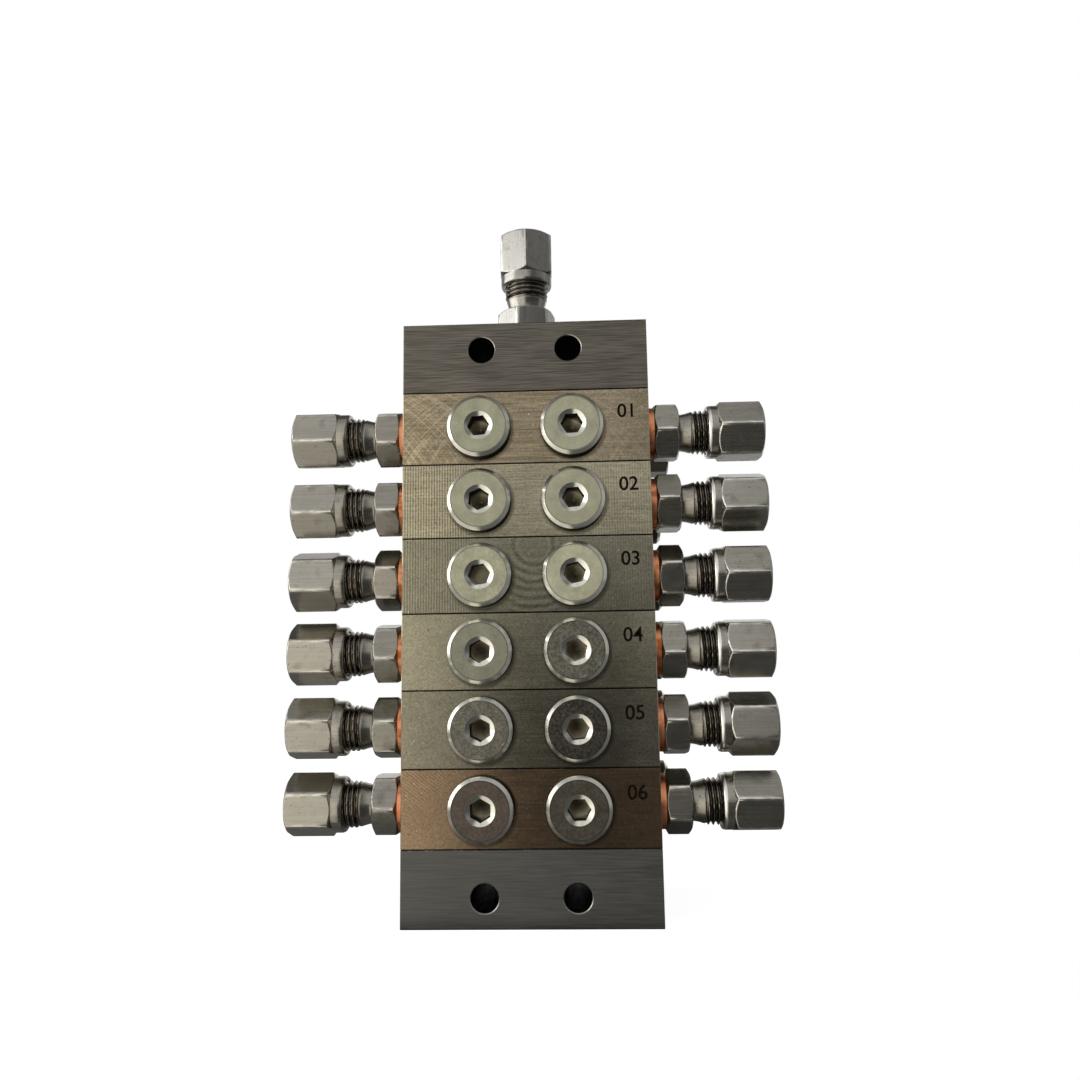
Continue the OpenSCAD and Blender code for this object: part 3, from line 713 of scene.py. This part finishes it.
nut_shape = outline([
    (NUT_START, BORE_R, 2), *quarter_round(LIP_FOOT, LIP_TOP, 5), (*LIP_TOP, 3), (COLLAR_END, COLLAR_R, 14),
    (HEX_START, CORNER_R, 4), (NUT_END - CHAMFER, CORNER_R, 14), (NUT_END, FACE_R, 4),
    (NUT_END, TUBE_R + MOUTH, 2), (NUT_END - MOUTH, TUBE_R, 2), (SEAT_U + SEAT_R - TUBE_R, TUBE_R, 1),
    (SEAT_U, SEAT_R, 1), (SEAT_U - SEAT_L, SEAT_R, 1), (SEAT_U - SEAT_L, BORE_R, 2),
])
nut_steel = drawn_steel("nut_steel", tone(160, 156, 146), (14, 0.4, 0.4))
add_outlets("nut", nut_shape, LEFT_NUT_TURNS, RIGHT_NUT_TURNS, nut_steel)
add_inlet("nut", nut_shape, INLET_NUT_TURN)
dress(["cutting_rings"], plated_steel("ring_steel", tone(140, 136, 124)))


# Position numbers
# A plain number is etched dark into the steel on the upper right of each valve section's front, counted from
# the inlet.
NUMBER_H = 4.2
DIGIT_SHARE = 0.7
NUMBER_X = 28.3
NUMBER_RISE = 2.4
BOLDNESS = 0.08
ETCH = 0.02


def etched_mark():
    """Dark, matt etching with a few gaps where it has worn."""
    material, place = new_finish("etched_mark")
    gaps = patches(place, (0.6, 0.6, 0.6), 2.0)
    shade = lay(tone(30, 26, 21), tone(66, 58, 47), rise(gaps, 0.58, 0.75))
    return metal(material, shade, 0.55 + 0.2 * gaps, 0.01 * gaps)


etched = etched_mark()
stand_up = Matrix.Rotation(np.pi / 2, 4, "X")
for row in ROWS:
    stroke = bpy.data.curves.new(f"number_stroke_{row}", "FONT")
    stroke.body = f"0{row}"
    stroke.size = NUMBER_H / DIGIT_SHARE * MM
    stroke.offset = BOLDNESS * MM
    stroke.extrude = ETCH * MM
    drawn_text = bpy.data.objects.new(f"number_text_{row}", stroke)
    bpy.context.scene.collection.objects.link(drawn_text)
    shapes = bpy.context.evaluated_depsgraph_get()
    mesh = bpy.data.meshes.new_from_object(drawn_text.evaluated_get(shapes))
    bpy.data.objects.remove(drawn_text)
    start = Vector((NUMBER_X, FRONT_Y, row_height(row) + NUMBER_RISE)) * MM
    mesh.transform(Matrix.Translation(start) @ stand_up)
    mesh.materials.clear()
    mesh.materials.append(etched)
    number = bpy.data.objects.new(f"position_number_{row}", mesh)
    bpy.context.scene.collection.objects.link(number)
    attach(number, "block")


# Studio
# A white floor from the block's front backwards and a white background, one large soft window on the left,
# and a room that is dim in front and below, so that the steel shows its edges. Sizes here are in metres.
FLOOR_Z = -TOP_Z * MM
FLOOR_SIDE = 0.6
FLOOR_FRONT = -0.058
FLOOR_BACK = 0.5
WINDOW_PLACE = Vector((-0.72, -0.12, 0.22))
WINDOW_TARGET = Vector((0, -0.03, 0))
scene = bpy.context.scene
scene.view_settings.view_transform = "Standard"


def seen_directly(source):
    """1 for rays from the camera, and 1 for rays that left a mirror or passed through glass."""
    path = source.node("ShaderNodeLightPath", output="Is Camera Ray")
    outputs = path.socket.node.outputs
    mirrored = Wire(path.tree, outputs["Is Glossy Ray"])
    through = Wire(path.tree, outputs["Is Transmission Ray"])
    return path, path.math("MAXIMUM", mirrored, through)


floor_x, floor_y = np.meshgrid([-FLOOR_SIDE, FLOOR_SIDE], [FLOOR_FRONT, FLOOR_BACK])
points = np.stack([floor_x, floor_y, np.full((2, 2), FLOOR_Z)], axis=-1)
mesh = bpy.data.meshes.new("floor")
mesh.from_pydata(points.reshape(-1, 3).tolist(), [], [(0, 1, 3, 2)])
material, place = new_finish("floor_white")
x, y, z = split(place)
camera_sees, mirror_shows = seen_directly(place)
shown = camera_sees.math("MAXIMUM", camera_sees, mirror_shows * rise(y, 250, 450))
paper = place.node("ShaderNodeBsdfDiffuse", None, {"Color": tone(150, 150, 150)})
glow = place.node("ShaderNodeEmission", None, {"Color": (1, 1, 1, 1), "Strength": shown * 0.93})
both = place.node("ShaderNodeAddShader", None, {0: paper, 1: glow})
place.node("ShaderNodeOutputMaterial", None, {"Surface": both})
mesh.materials.append(material)
floor = bpy.data.objects.new("floor", mesh)
scene.collection.objects.link(floor)

world = bpy.data.worlds.new("room")
scene.world = world
world.use_nodes = True
world.node_tree.nodes.clear()
toward = Wire(world.node_tree).node("ShaderNodeTexCoord", output="Generated")
x, y, z = split(toward)
camera_sees, mirror_shows = seen_directly(toward)
left = 0.5 * rise(x, -0.092, -0.118) + 0.5 * rise(x, -0.105, -0.19)
overhead = 0.27 * rise(z, 0, 0.09) + 0.45 * rise(z, 0.1, 0.22)
far_right = 0.15 * rise(x, 0.5, 0.8) * rise(z, 0.1, 0.3)
ahead = 0.09 + 0.06 * rise(z, -0.1, 0) + overhead * rise(x, 0.45, 0.1) + far_right
window = 1.05 + 0.3 * rise(x, -0.14, -0.24) - 0.5 * rise(z, 0.05, 0.65) - 0.5 * rise(z, -0.35, -0.8)
room = blend(ahead, window, left)
aside = 0.3 + 0.2 * rise(x, 0.6, 0.9)
room = blend(room, aside, rise(y, -0.3, 0.1) * rise(x, -0.7, -0.3))
room = blend(room, 0.3, rise(y, 0.1, 0.4))
above = rise(z, 0.35, 0.65) * rise(x, -0.75, -0.4)
room = blend(room, 0.5, above * rise(y, -0.42, -0.25))
room = blend(room, 0.1, above * rise(y, 0.05, 0.25))
background = mirror_shows * rise(y, 0.74, 0.82) * rise(z, -0.03, 0.03)
background = camera_sees.math("MAXIMUM", camera_sees, background)
warm = left * (1 - background) * rise(z, 0.36, 0.22)
warmth = lay((1.0, 1.0, 1.0, 1.0), (1.0, 0.955, 0.87, 1.0), warm)
light = toward.node("ShaderNodeBackground", None, {"Color": warmth, "Strength": blend(room, 1.0, background)})
toward.node("ShaderNodeOutputWorld", None, {"Surface": light})

lamp = bpy.data.lights.new("left_window", "AREA")
lamp.shape = "RECTANGLE"
lamp.size = 0.8
lamp.size_y = 0.55
lamp.energy = 2.4
holder = bpy.data.objects.new("left_window", lamp)
scene.collection.objects.link(holder)
away = WINDOW_PLACE - WINDOW_TARGET
holder.matrix_world = Matrix.Translation(WINDOW_PLACE) @ away.to_track_quat("Z", "Y").to_matrix().to_4x4()

lens = bpy.data.cameras.new("camera")
lens.lens = 30.0
lens.sensor_width = 36.0
camera = bpy.data.objects.new("camera", lens)
camera.location = (0.01416, -0.32086, -0.01513)
camera.rotation_euler = np.radians([97.788, 0.837, 2.27])
scene.collection.objects.link(camera)
scene.camera = camera
